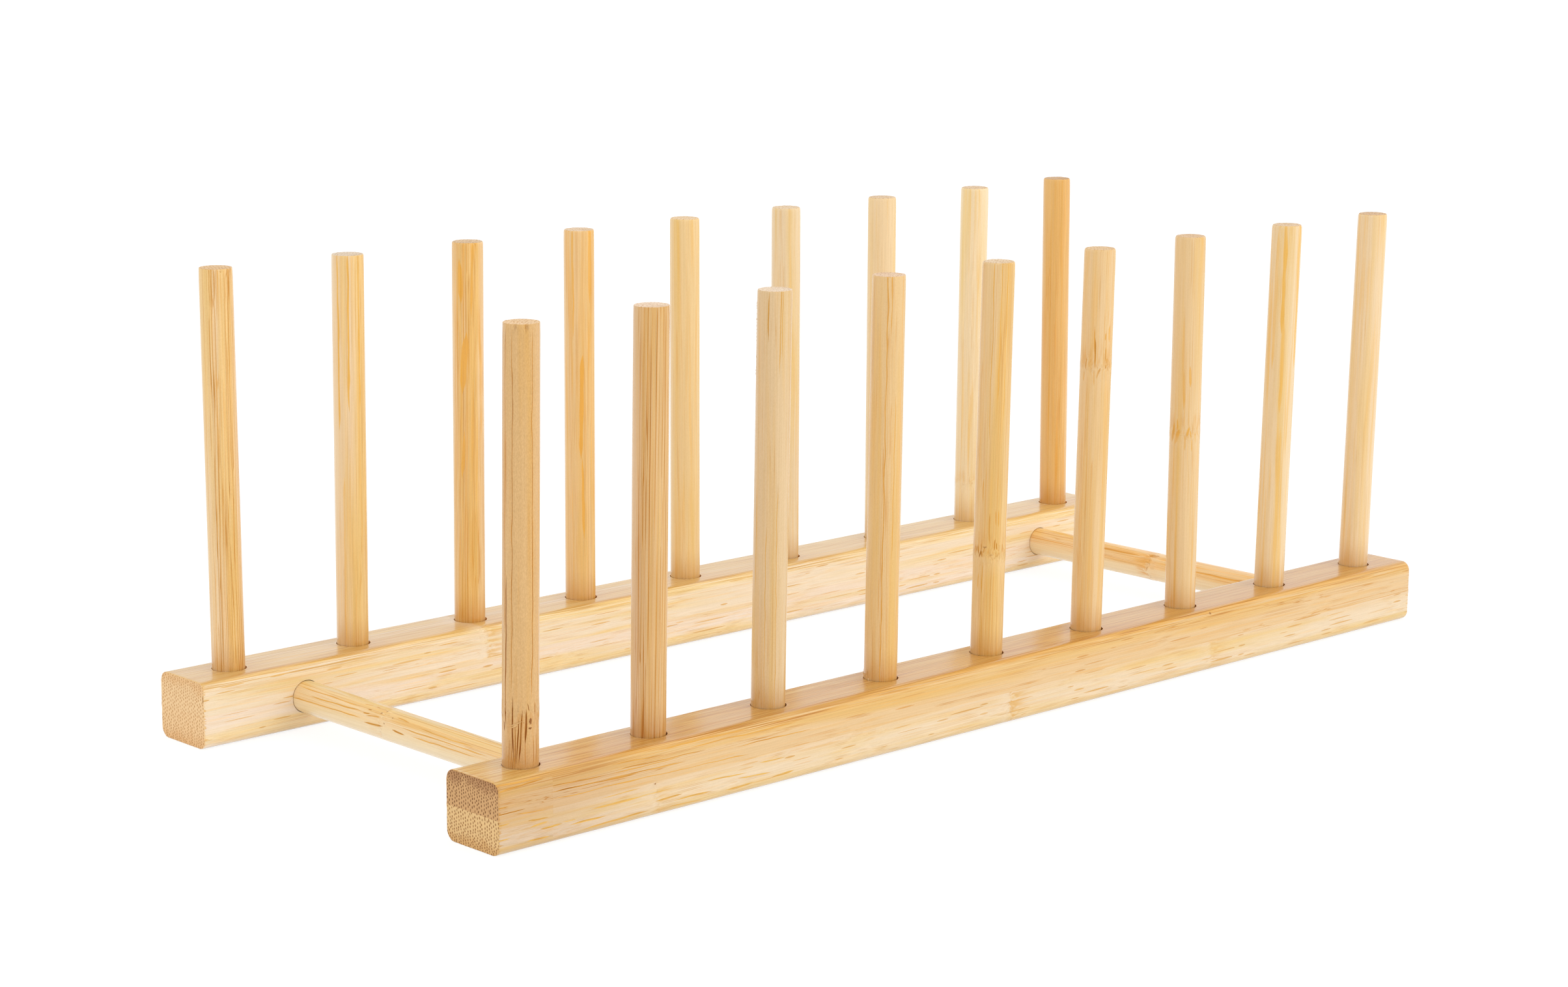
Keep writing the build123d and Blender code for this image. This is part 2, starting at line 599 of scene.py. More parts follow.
def bundle_pattern(graph, grain, facing, look, near_knot):
    """The vascular bundles that the surface cuts. Each has two caps of dark fibre.

    Returns how far each point is from the nearest cap's middle and from the bundle's middle, where their
    edges are at 1, how strongly the bundle shows there, its own random number, and the bent grain.
    """
    calm = look["calm"]
    outer = grain.y.fade(0.0, 9.0)
    sinking = noise(graph, grain * (1 / 7, 1 / 7, 1 / 34), 1.0) - 0.5
    drift = sinking * (4.6 / calm) * (1.1 - look["steady"] * outer)
    bent = grain + facing * (1.0, 1.0, 0.0) * drift + vector(graph, grain.z * look["slope"], 0.0, 0.0)
    sway = noise(graph, grain * (1 / 9, 1 / 9, 1 / 70) + 17.0)
    bent = bent + (sway.also("Color") - 0.5) * (1.0, 1.0, 0.0) * (1.3 / calm)
    for place, shift in look["breaks"]:
        step = grain.z.math("GREATER_THAN", place) * shift
        bent = bent + vector(graph, step * abs(facing.x), 0.0, 0.0)
    if near_knot is not None:
        curl = noise(graph, grain * (1 / 2.2, 1 / 2.2, 1 / 3.6) + 31.0, 1.5)
        bent = bent + (curl.also("Color") - 0.5) * (3.4, 3.4, 0.0) * near_knot
    row_pitch = 1.65
    column_pitch = 1.15
    across = bent.x / row_pitch
    rise = bent.y * (1.0 + 0.055 * bent.y) / column_pitch
    place = vector(graph, across + rise, across - rise, 0.0)
    cells = nearest_cell(graph, place, 0.4)
    own = cells.also("Color").x
    away = place - cells
    away_across = (away.x + away.y) * (row_pitch / 2)
    away_up = (away.x - away.y) * (column_pitch / 2) / (1.0 + 0.07 * bent.y)
    cap_width, cap_height, cap_place = 0.16, 0.12, 0.17
    bundle_width, bundle_height = 0.21, 0.35
    distance = vector(graph, away_across / cap_width, (abs(away_up) - cap_place) / cap_height, 0.0).length()
    from_middle = vector(graph, away_across / bundle_width, away_up / bundle_height, 0.0).length()
    beat = noise(graph, vector(graph, own * 61.0, own * 17.0, grain.z / look["dash"]), 1.0)
    shows = (beat + (outer - 0.5) * look["gathered"] + (own - 0.5) * 0.2).fade(0.40, 0.54)
    return distance, from_middle, shows, own, bent


def spots(graph, skin, marks):
    """Uneven spots, each given as (place, reach, strength) with the first two as vectors on the skin."""
    wobble = noise(graph, skin * 1.4, 2.0, 0.6)
    shaken = skin + (wobble.also("Color") - 0.5) * 0.7
    dark = None
    for place, reach, strength in marks:
        spot = ((shaken - place) / reach).length().fade(1.15, 0.55) * strength
        dark = spot if dark is None else dark.math("MAXIMUM", spot)
    return dark


def strokes(graph, skin, lines):
    """Lines along the grain that taper at both ends, in mm.

    Each is given as (place across at its foot, the same at its top, from, to, half width, strength).
    """
    wander = noise(graph, skin * (0.4, 1 / 12, 0.0), 1.0)
    tremble = noise(graph, skin * (0.9, 1 / 6.0, 0.0), 0.0)
    across = skin.x - (wander - 0.5) * 0.6 - (tremble - 0.5) * 0.25
    shown = None
    for across_low, across_high, low, high, half_width, strength in lines:
        slant = (across_high - across_low) / (high - low)
        reach = min((high - low) * 0.3, 5.0)
        taper = skin.y.fade(low, low + reach) * skin.y.fade(high, high - reach)
        away = abs(across - skin.y * slant - (across_low - slant * low))
        line = (away / (taper * half_width + 0.01)).fade(1.35, 0.6) * taper.fade(0.0, 0.15) * strength
        shown = line if shown is None else shown.math("MAXIMUM", line)
    return shown * (0.6 + 0.8 * wander)


def dashes(graph, skin, amount):
    """Short tapered streaks along a rail's sides, at most one to each cell of a loose pattern."""
    cell_height, cell_length = 1.25, 17.0
    rising = skin.x - skin.y * 0.01
    place = vector(graph, rising / cell_height, skin.y / cell_length, 0.0)
    cells = nearest_cell(graph, place, 0.85)
    own = cells.also("Color")
    away = place - cells
    half_length = 1.2 + 6.0 * own.y ** 1.5
    taper = (1.0 - (away.y * cell_length / half_length) ** 2.0).math("MAXIMUM", 0.0)
    thickness = (0.07 + 0.20 * own.z) * taper + 0.01
    line = abs(away.x * cell_height / thickness).fade(1.4, 0.4) * taper.fade(0.0, 0.25)
    return line * (amount - own.x).fade(0.0, 0.12)


def shades(ground):
    """The tones of one piece, from the colour of its plain ground."""
    factors = {
        "pale": (1.02, 1.07, 1.22),
        "warm": (1.00, 0.95, 0.68),
        "gold": (1.02, 0.80, 0.26),
        "sheath": (0.90, 0.67, 0.28),
        "core": (0.65, 0.40, 0.10),
        "mark": (0.36, 0.18, 0.03),
    }
    palest = 0.98
    return {
        name: tuple(min(g * f, palest) for g, f in zip(ground, factor)) for name, factor in factors.items()
    }


through = 1000.0  # a reach that a mark has where it isn't bounded
nothing = (0.0, 0.0, 0.0)
# The colour of the painted bounce light from the floor on a cross bar's underside
painted_bounce_colour = (0.98, 0.81, 0.52)

plain_look = {
    "ground": (0.84, 0.56, 0.26),
    "end": (0.80, 0.60, 0.40),
    "end_dark": (0.74, 0.53, 0.33),
    "end_core": (0.60, 0.38, 0.20),
    "end_tone": (1.0, 1.0, 1.0),  # what a post's own cut end makes of these three
    "streaks": 0.5,      # how strongly the bundles show
    "gathered": 0.25,    # how much more they show on the dense side
    "outer_warmth": 0.25,  # how much more golden the dense side is
    "hairs": 0.5,        # fine lines between them
    "patches": 0.5,      # soft golden streaks
    "speckle": 0.1,
    "calm": 4.0,         # how straight the bundles run
    "steady": 0.5,       # how much straighter they run on the dense side
    "slope": 0.006,      # how far they run aside for each mm along
    "dash": 30.0,        # how long one shows, in mm
    "knots": (),
    "scar": 0.8,         # how dark a knot's scar is
    "breaks": (),        # (place along the grain, how far the bundles step aside), in mm
    "marks": (),
    "strokes": (),
    "half_length": None,  # of a rail, whose ends have a fringe of torn fibres
    "edge_gold": 0.0,    # how golden the rounded edges of a rail are
    "face_shade": 0.12,  # how much darker its outer face is
    "dashes": 0.0,       # the share of places where its sides have a short streak
    "near_end": None,    # where its darker end begins
    "golden_from": (3.5, 9.0),  # where the golden side of its strip begins, across the grain, in mm
    "joint_warmth": 0.0,  # how much warmer a lower strip is by the glue line
    "painted_bounce_below": 0.0,   # painted bounce light: how much paler a cross bar's underside is
    "painted_crest_reflection": 0.0,   # and painted reflection: how much greyer its crest
    "painted_foot_shade": 0.0,   # painted shade and painted reflection of the rail: how much darker a post is by the rail
    "rim": 0.8,          # rounding of a dowel's top edge, in mm
    "swell": 0.0,        # how much thicker than its solid a post is, in radius, in mm
    "swelling": 0.0,     # of a dowel at its knot, in mm
    "around": 96,        # a dowel's faces round it and along it
    "along": 180,
    "chip": nothing,     # (arc, length down from the top, depth), in mm
    "second_chip": nothing,
    "fibres": 0,         # torn fibres that stand off a dowel, and where they are, in mm
    "fibre_place": nothing,
    "fibre_spread": nothing,
    "fibre_length": 1.6,
    "fibre_lie": (0.0, 1.0, 0.3),  # round, along and away from the dowel
    "fibre_radius": 0.13,
}


def bamboo(name, look, along):
    """Lacquered bamboo in its own tones, with the bundles, knots and marks of its look.

    Its grain runs along one axis of the piece, so the sides that face that way are cut ends.
    """
    material = bpy.data.materials.new(name)
    graph = empty_graph(material)
    tone = shades(look["ground"])

    def painted(amount, shade_name):
        """The colour so far, with this much of one of the tones over it."""
        return mixed(graph, amount, colour, tone[shade_name])

    def shaded(amount, red, green, blue):
        """The colour so far, with each of its parts raised by this share of the amount."""
        return tinted(graph, colour, *(1.0 + amount * part for part in (red, green, blue)))

    grain, skin, facing = (
        graph.node("ShaderNodeAttribute", {"attribute_name": attribute}, None, "Vector")
        for attribute in ("grain", "skin", "facing")
    )
    normal = graph.node("ShaderNodeTexCoord", None, None, "Normal")
    cut = abs(getattr(normal, along)).fade(0.55, 0.9)

    near = None
    if look["knots"]:
        near, fringe, ring, scar = knot_zones(graph, skin, look["knots"])
    distance, from_middle, shows, own, bent = bundle_pattern(graph, grain, facing, look, near)
    dot = distance.fade(1.25, 0.7)
    core = distance.fade(0.85, 0.3)
    # Painted highlight: a pale ring round each cap stands for the lit flank of its groove
    painted_flank_highlight = distance.bump(1.75, 0.5)
    outer = grain.y.fade(3.5, 9.0)

    broad = noise(graph, bent * (1 / 3.2, 1 / 3.2, 1 / 95), 2.0)
    streaky = noise(graph, bent * (1 / 0.9, 1 / 0.9, 1 / 38), 1.0)
    fibre = noise(graph, bent * (3.6, 3.6, 1 / 30), 2.0, 0.6)
    speckle = noise(graph, grain * (4.2, 4.2, 1.8), 2.0, 0.7)
    hair_noise = noise(graph, bent * (2.1, 2.1, 1 / 85), 1.0)
    hair = abs(hair_noise - 0.5).fade(0.045, 0.012)
    hair_zone = (broad.also("Color").y + (outer - 0.5) * 0.1).fade(0.42, 0.58)

    # The side of the grain
    on_side = 1.0 - cut
    golden = grain.y.fade(*look["golden_from"])
    warmth = (broad + (golden - 0.5) * look["outer_warmth"]).fade(0.34, 0.66)
    colour = mixed(graph, warmth, tone["pale"], tone["warm"])
    colour = painted(streaky.fade(0.5, 0.75) * look["patches"] * 0.8, "gold")
    seen = shows * look["streaks"]
    colour = painted(painted_flank_highlight * seen * 0.45, "pale")
    colour = painted(dot * seen * (0.6 + 0.4 * own), "sheath")
    colour = painted(core * seen * (0.35 + 0.65 * own), "core")
    hairs = hair * hair_zone * look["hairs"]
    colour = painted(hairs, "sheath")
    colour = painted(hairs.fade(0.5, 1.0) * 0.7, "core")
    sunk = core * seen + hairs * 0.6
    relief = fibre * 0.5 + speckle * 0.25 - sunk * 0.8

    # A rail's faces: the outer face is darker than the sides, and its edges are golden
    if look["half_length"]:
        face = facing.y.fade(0.80, 0.98)
        edge_lines = noise(graph, grain * (3.5, 3.5, 1 / 24), 1.0)
        stretch = noise(graph, grain * (0.3, 0.3, 1 / 42) + 5.0, 1.0)
        band = facing.y.fade(0.05, 0.45) * facing.y.fade(1.0, 0.96) * look["edge_gold"]
        band = band * (0.35 + 0.65 * stretch.also("Color").y.fade(0.38, 0.60))
        ridge = facing.y.fade(0.60, 0.78) * facing.y.fade(0.995, 0.93) * look["edge_gold"]
        colour = painted(band * edge_lines.fade(0.47, 0.40) * 0.8, "pale")
        colour = painted(ridge * stretch.fade(0.36, 0.56) * 0.65, "gold")
        lined = band.math("MAXIMUM", face * look["edge_gold"] * 0.65)
        colour = painted(lined * edge_lines.fade(0.51, 0.56) * 0.85, "sheath")
        colour = painted(lined * edge_lines.fade(0.57, 0.62) * 0.85, "core")
        darker = 1.0 - face * look["face_shade"]
        colour = tinted(graph, colour, darker, darker ** 1.8, darker ** 3.4)
        rear = face * skin.z.fade(-4.0, 5.0)
        colour = shaded(rear, 0.01, 0.08, 0.24)
        torn = (noise(graph, skin * (2.8, 0.5, 2.8), 2.0, 0.6) - 0.5) * 5.0
        end_fringe = (abs(skin.y) + torn).fade(look["half_length"] - 0.6, look["half_length"] + 0.2)
        colour = painted(end_fringe * 0.8, "sheath")

    if look["dashes"]:
        dashed = dashes(graph, skin + look["half_length"], look["dashes"]) * facing.y.fade(0.85, 0.3)
        if look["near_end"]:
            dashed = dashed * skin.y.fade(look["near_end"] + 45.0, look["near_end"] + 70.0)
        colour = painted(dashed * 0.85, "sheath")
        colour = painted(dashed.fade(0.7, 1.0) * own * 0.5, "core")
    if look["near_end"]:
        stained = skin.y.fade(look["near_end"] + 45.0, look["near_end"] - 5.0) * (1.0 - face * 1.5)
        colour = shaded(stained, -0.15, -0.20, -0.21)
        light_end = face * skin.y.fade(look["near_end"] + 12.0, look["near_end"] - 2.0)
        colour = shaded(light_end, 0.05, 0.16, 0.40)
    if look["joint_warmth"]:
        by_joint = skin.x.fade(-4.0, 0.0) * look["joint_warmth"]
        colour = shaded(by_joint, -0.02, -0.08, -0.17)
    # Painted bounce light from the floor: a cross bar's underside is paler
    if look["painted_bounce_below"]:
        below = skin.x.fade(-1.5, -4.2) * skin.x.fade(-12.0, -9.5) * look["painted_bounce_below"]
        colour = mixed(graph, below, colour, painted_bounce_colour)
    # Painted reflection of the backdrop: a cross bar's crest is greyer
    if look["painted_crest_reflection"]:
        crest_reflection = skin.x.fade(1.0, 3.6) * skin.x.fade(8.5, 5.5) * look["painted_crest_reflection"]
        colour = shaded(crest_reflection, -0.10, 0.0, 0.30)
    # Painted shade and painted reflection of the rail: a post darkens towards its foot
    if look["painted_foot_shade"]:
        painted_shade_by_rail = skin.y.fade(9.0, 0.0) * look["painted_foot_shade"]
        colour = shaded(painted_shade_by_rail, -0.13, -0.22, -0.34)
    if look["strokes"]:
        lines = strokes(graph, skin, look["strokes"])
        if look["half_length"]:
            lines = lines * (0.55 + fibre.fade(0.36, 0.60) * 0.6)
        for low, high, shade_name in (
            (0.0, 0.4, "gold"), (0.3, 0.8, "sheath"), (0.6, 1.1, "core"), (0.9, 1.4, "mark"),
        ):
            colour = painted(lines.fade(low, high), shade_name)
        sunk = sunk.math("MAXIMUM", lines)
        relief = relief - lines * 2.5
    if look["knots"]:
        frayed = noise(graph, bent * (1.2, 1.2, 1 / 9), 1.5).fade(0.42, 0.62)
        colour = painted(ring * 0.5, "pale")
        colour = painted(fringe * frayed * 0.85, "sheath")
        bitten = noise(graph, skin * (1.5, 0.9, 1.5), 3.0, 0.7).fade(0.50, 0.62)
        colour = painted(scar * bitten * look["scar"], "core")
        relief = relief - scar * bitten * look["scar"]

    fineness = 0.22 + 0.3 * outer
    shade = 1.0 + (fibre - 0.5) * fineness + (speckle - 0.5) * look["speckle"]
    side_colour = tinted(graph, colour, shade, shade ** 1.2, shade ** 1.8)

    # The cut ends
    pale_end, dark_end, end_core = (
        tuple(e * t for e, t in zip(look[key], look["end_tone"])) for key in ("end", "end_dark", "end_core")
    )
    end_zone = (broad + (outer - 0.5) * 0.7).fade(0.3, 0.7)
    end_colour = mixed(graph, end_zone, pale_end, dark_end)
    end_dot = from_middle.fade(1.2, 0.6) * (0.7 + 0.3 * own)
    end_colour = mixed(graph, end_dot, end_colour, end_core)
    end_shade = 1.0 + (speckle - 0.5) * 0.30
    end_colour = tinted(graph, end_colour, end_shade, end_shade, end_shade)
    colour = mixed(graph, cut, side_colour, end_colour)
    colour = painted(cut * on_side * 1.1, "gold")

    if look["fibres"]:
        loose = graph.node("ShaderNodeAttribute", {"attribute_name": "loose"}, None, "Fac")
        colour = painted(loose, "pale")
    if look["marks"]:
        dark = spots(graph, skin, look["marks"])
        colour = painted(dark, "mark")
        sunk = sunk.math("MAXIMUM", dark)
        relief = relief - dark * 2.0
    bumped = graph.node(
        "ShaderNodeBump", None, {"Strength": 0.4, "Distance": 0.06 * MM, "Height": relief}
    )
    shader = graph.node(
        "ShaderNodeBsdfPrincipled",
        None,
        {
            "Base Color": colour,
            "Roughness": 0.42 + (speckle - 0.5) * 0.12 + cut * 0.25,
            "Normal": bumped,
            "IOR": 1.5,
            "Specular IOR Level": 0.2,
            "Coat Weight": on_side * sunk.fade(1.2, 0.2) * 0.8,
            "Coat Roughness": 0.16,
        },
    )
    graph.node("ShaderNodeOutputMaterial", None, {"Surface": shader})
    return material


# Looks of the pieces. Places on a dowel are arc and height above the rail in mm, with arc 0 on the shown
# side, and places on a rail are height above its glue line, X, and Y from its middle. A dowel's dense side
# faces so many degrees from the shown one, and a post's top leans so many mm in X and Y.

front_posts = {
    1: dict(
        end_tone=(1.09, 1.03, 0.92), ground=(0.71, 0.41, 0.14), streaks=0.9, gathered=0.8, hairs=0.7,
        speckle=0.45, patches=0.3, dense=175.0, swell=0.12, rim=0.35, lean=(1.2, -0.4), around=192,
        along=260, knots=((13.0, -5.0, 0.45),), scar=0.3, swelling=0.14, chip=(-0.9, 1.9, 0.4),
        second_chip=(1.7, 2.2, 0.5), fibres=3, fibre_place=(-0.4, 10.3, 0.0), fibre_spread=(0.2, 0.15, 1.0),
        fibre_lie=(1.0, 0.6, 0.4), fibre_radius=0.28,
        strokes=(
            (-1.15, -1.35, 1.5, 17.7, 0.16, 1.7), (-1.3, -1.1, -2, 4.5, 0.07, 1),
            (-0.6, -0.5, 0, 10, 0.1, 1.3), (-0.2, 0.2, 0.5, 12.2, 0.11, 1.4),
            (0.3, 1, 0.5, 14.3, 0.15, 1.7), (1.7, 1.95, 5, 14.4, 0.18, 1.6), (1.75, 1.7, 0, 7, 0.06, 1),
            (2.6, 2.35, 13.2, 15.2, 0.09, 1.5), (4.1, 4.3, 12.2, 15.2, 0.1, 1.2),
            (-3.3, -3.2, 8.4, 45, 0.13, 1.3), (-3.9, -3.9, 8.2, 11, 0.12, 1.3), (4.8, 4.8, 0, 9, 0.08, 1.1),
            (3.8, 3.8, 0, 8, 0.06, 1), (-2.3, -2.2, -1, 7.5, 0.06, 0.9), (-1.6, -1.7, -1, 7, 0.06, 0.9),
            (-0.8, -0.7, -1, 6, 0.05, 0.9), (-1.45, -1.5, 17, 100, 0.06, 1), (3.4, 3.2, 15, 100, 0.08, 0.9),
            (-3.7, -3.6, 30, 100, 0.1, 0.8),
        ),
        marks=(
            ((2.95, 10.9, 0), (0.45, 0.85, through), 0.9), ((2.9, 9.3, 0), (0.45, 0.3, through), 0.9),
            ((1.35, 10.7, 0), (0.14, 0.16, through), 0.8), ((-0.9, 99.4, 0), (0.1, 1, through), 0.25),
            ((1.7, 99.2, 0), (0.12, 1.2, through), 0.35),
        ),
    ),
    2: dict(
        end_tone=(1.12, 1.17, 1.32), ground=(0.74, 0.465, 0.21), streaks=1.0, gathered=0.4, hairs=1.0,
        speckle=0.12, patches=0.4, dash=60.0, calm=6.0, dense=35.0, swell=0.13, rim=0.35, lean=(1.0, -0.4),
    ),
    3: dict(
        end_tone=(1.11, 1.20, 1.37), ground=(0.75, 0.505, 0.235), streaks=0.3, speckle=0.18, patches=0.3,
        dense=150.0, swell=0.08, rim=0.45, lean=(1.1, -0.5),
        strokes=(
            (-1.1, -1, 88, 101, 0.11, 0.85), (1.8, 1.9, 80, 104, 0.09, 0.6), (2.3, 2.3, 84, 104, 0.06, 0.5),
            (1.9, 1.8, -2, 55, 0.06, 0.55), (-0.7, -0.9, -2, 45, 0.06, 0.5),
            (-3.9, -3.9, 28, 55, 0.1, 0.45),
        ),
        fibres=26, fibre_place=(-6.2, 88.0, 0.0), fibre_spread=(0.4, 9.0, 1.0), fibre_length=0.5,
        fibre_lie=(0.0, 1.0, 0.15), fibre_radius=0.09,
    ),
    4: dict(
        end_tone=(1.06, 1.04, 1.09), ground=(0.80, 0.51, 0.20), streaks=0.35, hairs=0.6, speckle=0.16,
        patches=0.35, dense=200.0, swell=0.05, rim=0.45, lean=(0.9, -0.5),
        strokes=(
            (0, 0, -2, 105, 0.1, 0.65), (0.9, 0.9, 85, 105, 0.08, 0.5), (2.4, 2.5, 30, 72, 0.08, 0.45),
            (4.4, 4.4, 0, 105, 0.14, 0.3),
        ),
        fibres=5, fibre_place=(-4.6, 0.6, 0.0), fibre_spread=(1.4, 0.3, 1.0),
    ),
    5: dict(
        end_tone=(1.07, 1.11, 1.15), ground=(0.81, 0.53, 0.22), streaks=0.3, hairs=0.6, dense=60.0,
        swell=0.04, lean=(1.0, -1.0), knots=((26.0, 3.5, 0.8),), swelling=0.1, scar=0.4,
        strokes=(
            (-4.4, -4.2, 26, 28.6, 0.12, 1), (-3.6, -3.8, 26.8, 28.3, 0.11, 1),
            (-3, -3.3, 26, 28.6, 0.12, 1.1), (-2.7, -2.3, 25.2, 27.5, 0.13, 1.2),
            (-2.2, -2.3, 27, 29.2, 0.1, 1), (-1.9, -2, 25.4, 27.4, 0.14, 1.1),
            (-1.5, -1.1, 26.5, 28.4, 0.1, 0.95), (1.3, 1.4, 27.2, 30.5, 0.17, 1),
            (1.9, 1.9, 27.4, 29.5, 0.13, 1), (3.7, 3.7, 26.5, 29, 0.13, 1),
            (-0.1, -0.2, 28.5, 37.5, 0.13, 0.75), (1.4, 1.4, 33.5, 38, 0.14, 0.7),
            (2.2, 2.2, 33, 38, 0.1, 0.6), (-2.1, -2.2, 39, 46, 0.14, 0.6),
            (-1.7, -1.7, 15.8, 24.7, 0.12, 0.75), (-2.75, -2.8, 17, 21.6, 0.1, 0.6),
            (-1, -1, 55, 103, 0.08, 0.45), (0.9, 0.9, 65, 103, 0.08, 0.45), (2.6, 2.6, 60, 103, 0.08, 0.45),
        ),
        marks=(
            ((-1.2, 28.2, 0), (0.6, 0.18, through), 0.55), ((-2.4, 26.5, 0), (0.35, 0.6, through), 0.35),
            ((0.4, 26.2, 0), (0.4, 0.18, through), 0.4),
        ),
    ),
    6: dict(
        end_tone=(1.02, 0.97, 0.86), ground=(0.825, 0.54, 0.235), streaks=0.3, dense=120.0,
        lean=(0.8, -1.1), knots=((70.0, 4.0, 0.7),), swelling=0.1, scar=0.35,
        strokes=(
            (-0.6, -0.9, 73, 81, 0.13, 0.6), (-0.3, -0.6, 69.5, 78, 0.16, 0.85),
            (0.2, 1, 66.9, 70, 0.16, 0.85), (2.5, 2.5, 71.3, 75.4, 0.14, 0.85),
            (2.9, 3, 70.8, 72.3, 0.12, 0.8), (3.6, 3.5, 70, 72.2, 0.12, 0.85),
            (4.3, 4.2, 69.2, 71.6, 0.14, 0.85), (2.4, 2.7, 69.4, 70.6, 0.13, 0.9),
            (3.3, 3.3, 68.8, 70, 0.12, 0.9), (-3.1, -2.7, 69, 72.5, 0.14, 0.85),
            (-0.3, -0.4, 65, 69.5, 0.11, 0.7), (2.2, 2.3, 76.8, 79, 0.18, 0.6),
            (3.6, 3.5, 76, 81, 0.16, 0.6), (-3.6, -3.5, 66, 69, 0.13, 0.6),
        ),
    ),
    7: dict(
        end_tone=(0.98, 0.93, 0.87), ground=(0.815, 0.54, 0.235), streaks=0.3, hairs=0.4, patches=0.7,
        dense=160.0, lean=(-0.1, 0.0), knots=((47.5, 3.2, 0.75),), swelling=0.12, scar=0.25,
        strokes=(
            (-4.2, -3.2, 45, 51, 0.45, 0.55), (-3.1, -1.8, 44.5, 49.3, 0.38, 0.5),
            (-2.2, -2.4, 48.5, 52, 0.18, 0.4), (0.2, 1, 46.9, 49.9, 0.3, 0.38),
            (1.7, 1.2, 46.3, 49, 0.22, 0.36), (-0.2, -0.2, 43, 47.6, 0.15, 0.5),
            (1.9, 1.9, 42.8, 46.8, 0.2, 0.36), (2.9, 2.7, 45, 48.5, 0.14, 0.36),
            (-0.8, -0.8, 53.5, 66, 0.28, 0.28), (0.9, 0.8, 60, 66.5, 0.28, 0.3),
        ),
    ),
    8: dict(
        ground=(0.86, 0.61, 0.305), streaks=0.2, hairs=0.3, patches=0.9, dense=140.0, lean=(0.6, -1.5),
        strokes=(
            (-0.4, -0.5, 70, 115, 0.5, 0.34), (0.2, 0.1, 48, 76, 0.45, 0.28), (4.3, 4.2, 60, 105, 0.4, 0.4),
            (-2.6, -2.6, 60, 100, 0.5, 0.2), (0.9, 0.8, -2, 46, 0.4, 0.2),
        ),
    ),
    9: dict(
        end_tone=(0.90, 0.83, 0.77), ground=(0.86, 0.605, 0.31), streaks=0.2, hairs=0.3, dense=190.0,
        lean=(0.6, -1.5),
    ),
}

# The back posts' grounds are paler than the front posts': partly their own tone, partly painted light, as the
# back row stands in brighter light
back_posts = {
    1: dict(
        end_tone=(1.01, 0.93, 0.79), ground=(0.885, 0.605, 0.30), streaks=0.6, hairs=1.0, speckle=0.2,
        patches=0.4, dense=20.0, swell=0.08, rim=0.4, lean=(-0.5, 0.1), chip=(2.2, 1.6, 0.35),
    ),
    2: dict(
        end_tone=(1.00, 1.11, 1.29), ground=(0.89, 0.625, 0.32), streaks=0.35, hairs=0.6, patches=0.4,
        dense=60.0, rim=0.5, lean=(0.4, -0.5),
        strokes=(
            (-2, -2, 55, 102, 0.22, 0.42), (0.7, 0.7, 60, 102, 0.22, 0.42), (3.7, 3.7, 60, 102, 0.22, 0.4),
            (-0.9, -0.9, 0, 45, 0.25, 0.2),
        ),
    ),
    3: dict(
        end_tone=(0.95, 0.93, 0.90), ground=(0.86, 0.555, 0.235), hairs=0.6, patches=1.0, dense=0.0,
        rim=0.65, lean=(0.4, -0.5), calm=1.5, chip=(2.4, 1.2, 0.3),
        strokes=(
            (-1.2, -1.6, 84, 97, 0.7, 0.4), (-1, 0.2, 60, 78, 0.9, 0.42), (-1.2, -0.3, 38, 52, 0.45, 0.3),
            (1.5, 2.1, 80, 103, 0.3, 0.3),
        ),
    ),
    4: dict(
        end_tone=(1.05, 1.08, 1.15), ground=(0.87, 0.555, 0.22), streaks=0.4, patches=0.9, dense=80.0,
        rim=0.7, lean=(0.1, -0.1),
        strokes=(
            (0.8, 1.3, 38, 68, 0.55, 0.4), (1.6, 1.2, 16, 40, 0.4, 0.32), (3.7, 3.9, 80, 104, 0.6, 0.32),
            (-1.2, -1.2, 70, 102, 0.25, 0.25),
        ),
    ),
    5: dict(
        end_tone=(1.08, 1.09, 1.06), ground=(0.88, 0.60, 0.25), streaks=0.2, hairs=0.35, dense=160.0,
        lean=(-0.1, 0.1),
    ),
    6: dict(
        end_tone=(1.05, 1.09, 1.12), ground=(0.86, 0.635, 0.345), streaks=0.2, hairs=0.3, dense=140.0,
        lean=(0.0, 0.1),
    ),
    7: dict(
        ground=(0.89, 0.635, 0.32), streaks=0.15, hairs=0.3, patches=0.3, dense=200.0, lean=(0.1, 0.1),
    ),
    8: dict(
        ground=(0.93, 0.705, 0.385), streaks=0.2, hairs=0.3, patches=0.6, dense=150.0, lean=(0.4, -0.3),
        knots=((11.6, 2.6, 0.5),), swelling=0.08, scar=0.25,
    ),
    9: dict(
        end_tone=(0.84, 0.75, 0.67), ground=(0.815, 0.46, 0.13), streaks=0.2, hairs=0.4, patches=0.6,
        dense=90.0, lean=(-0.5, 0.7),
    ),
}

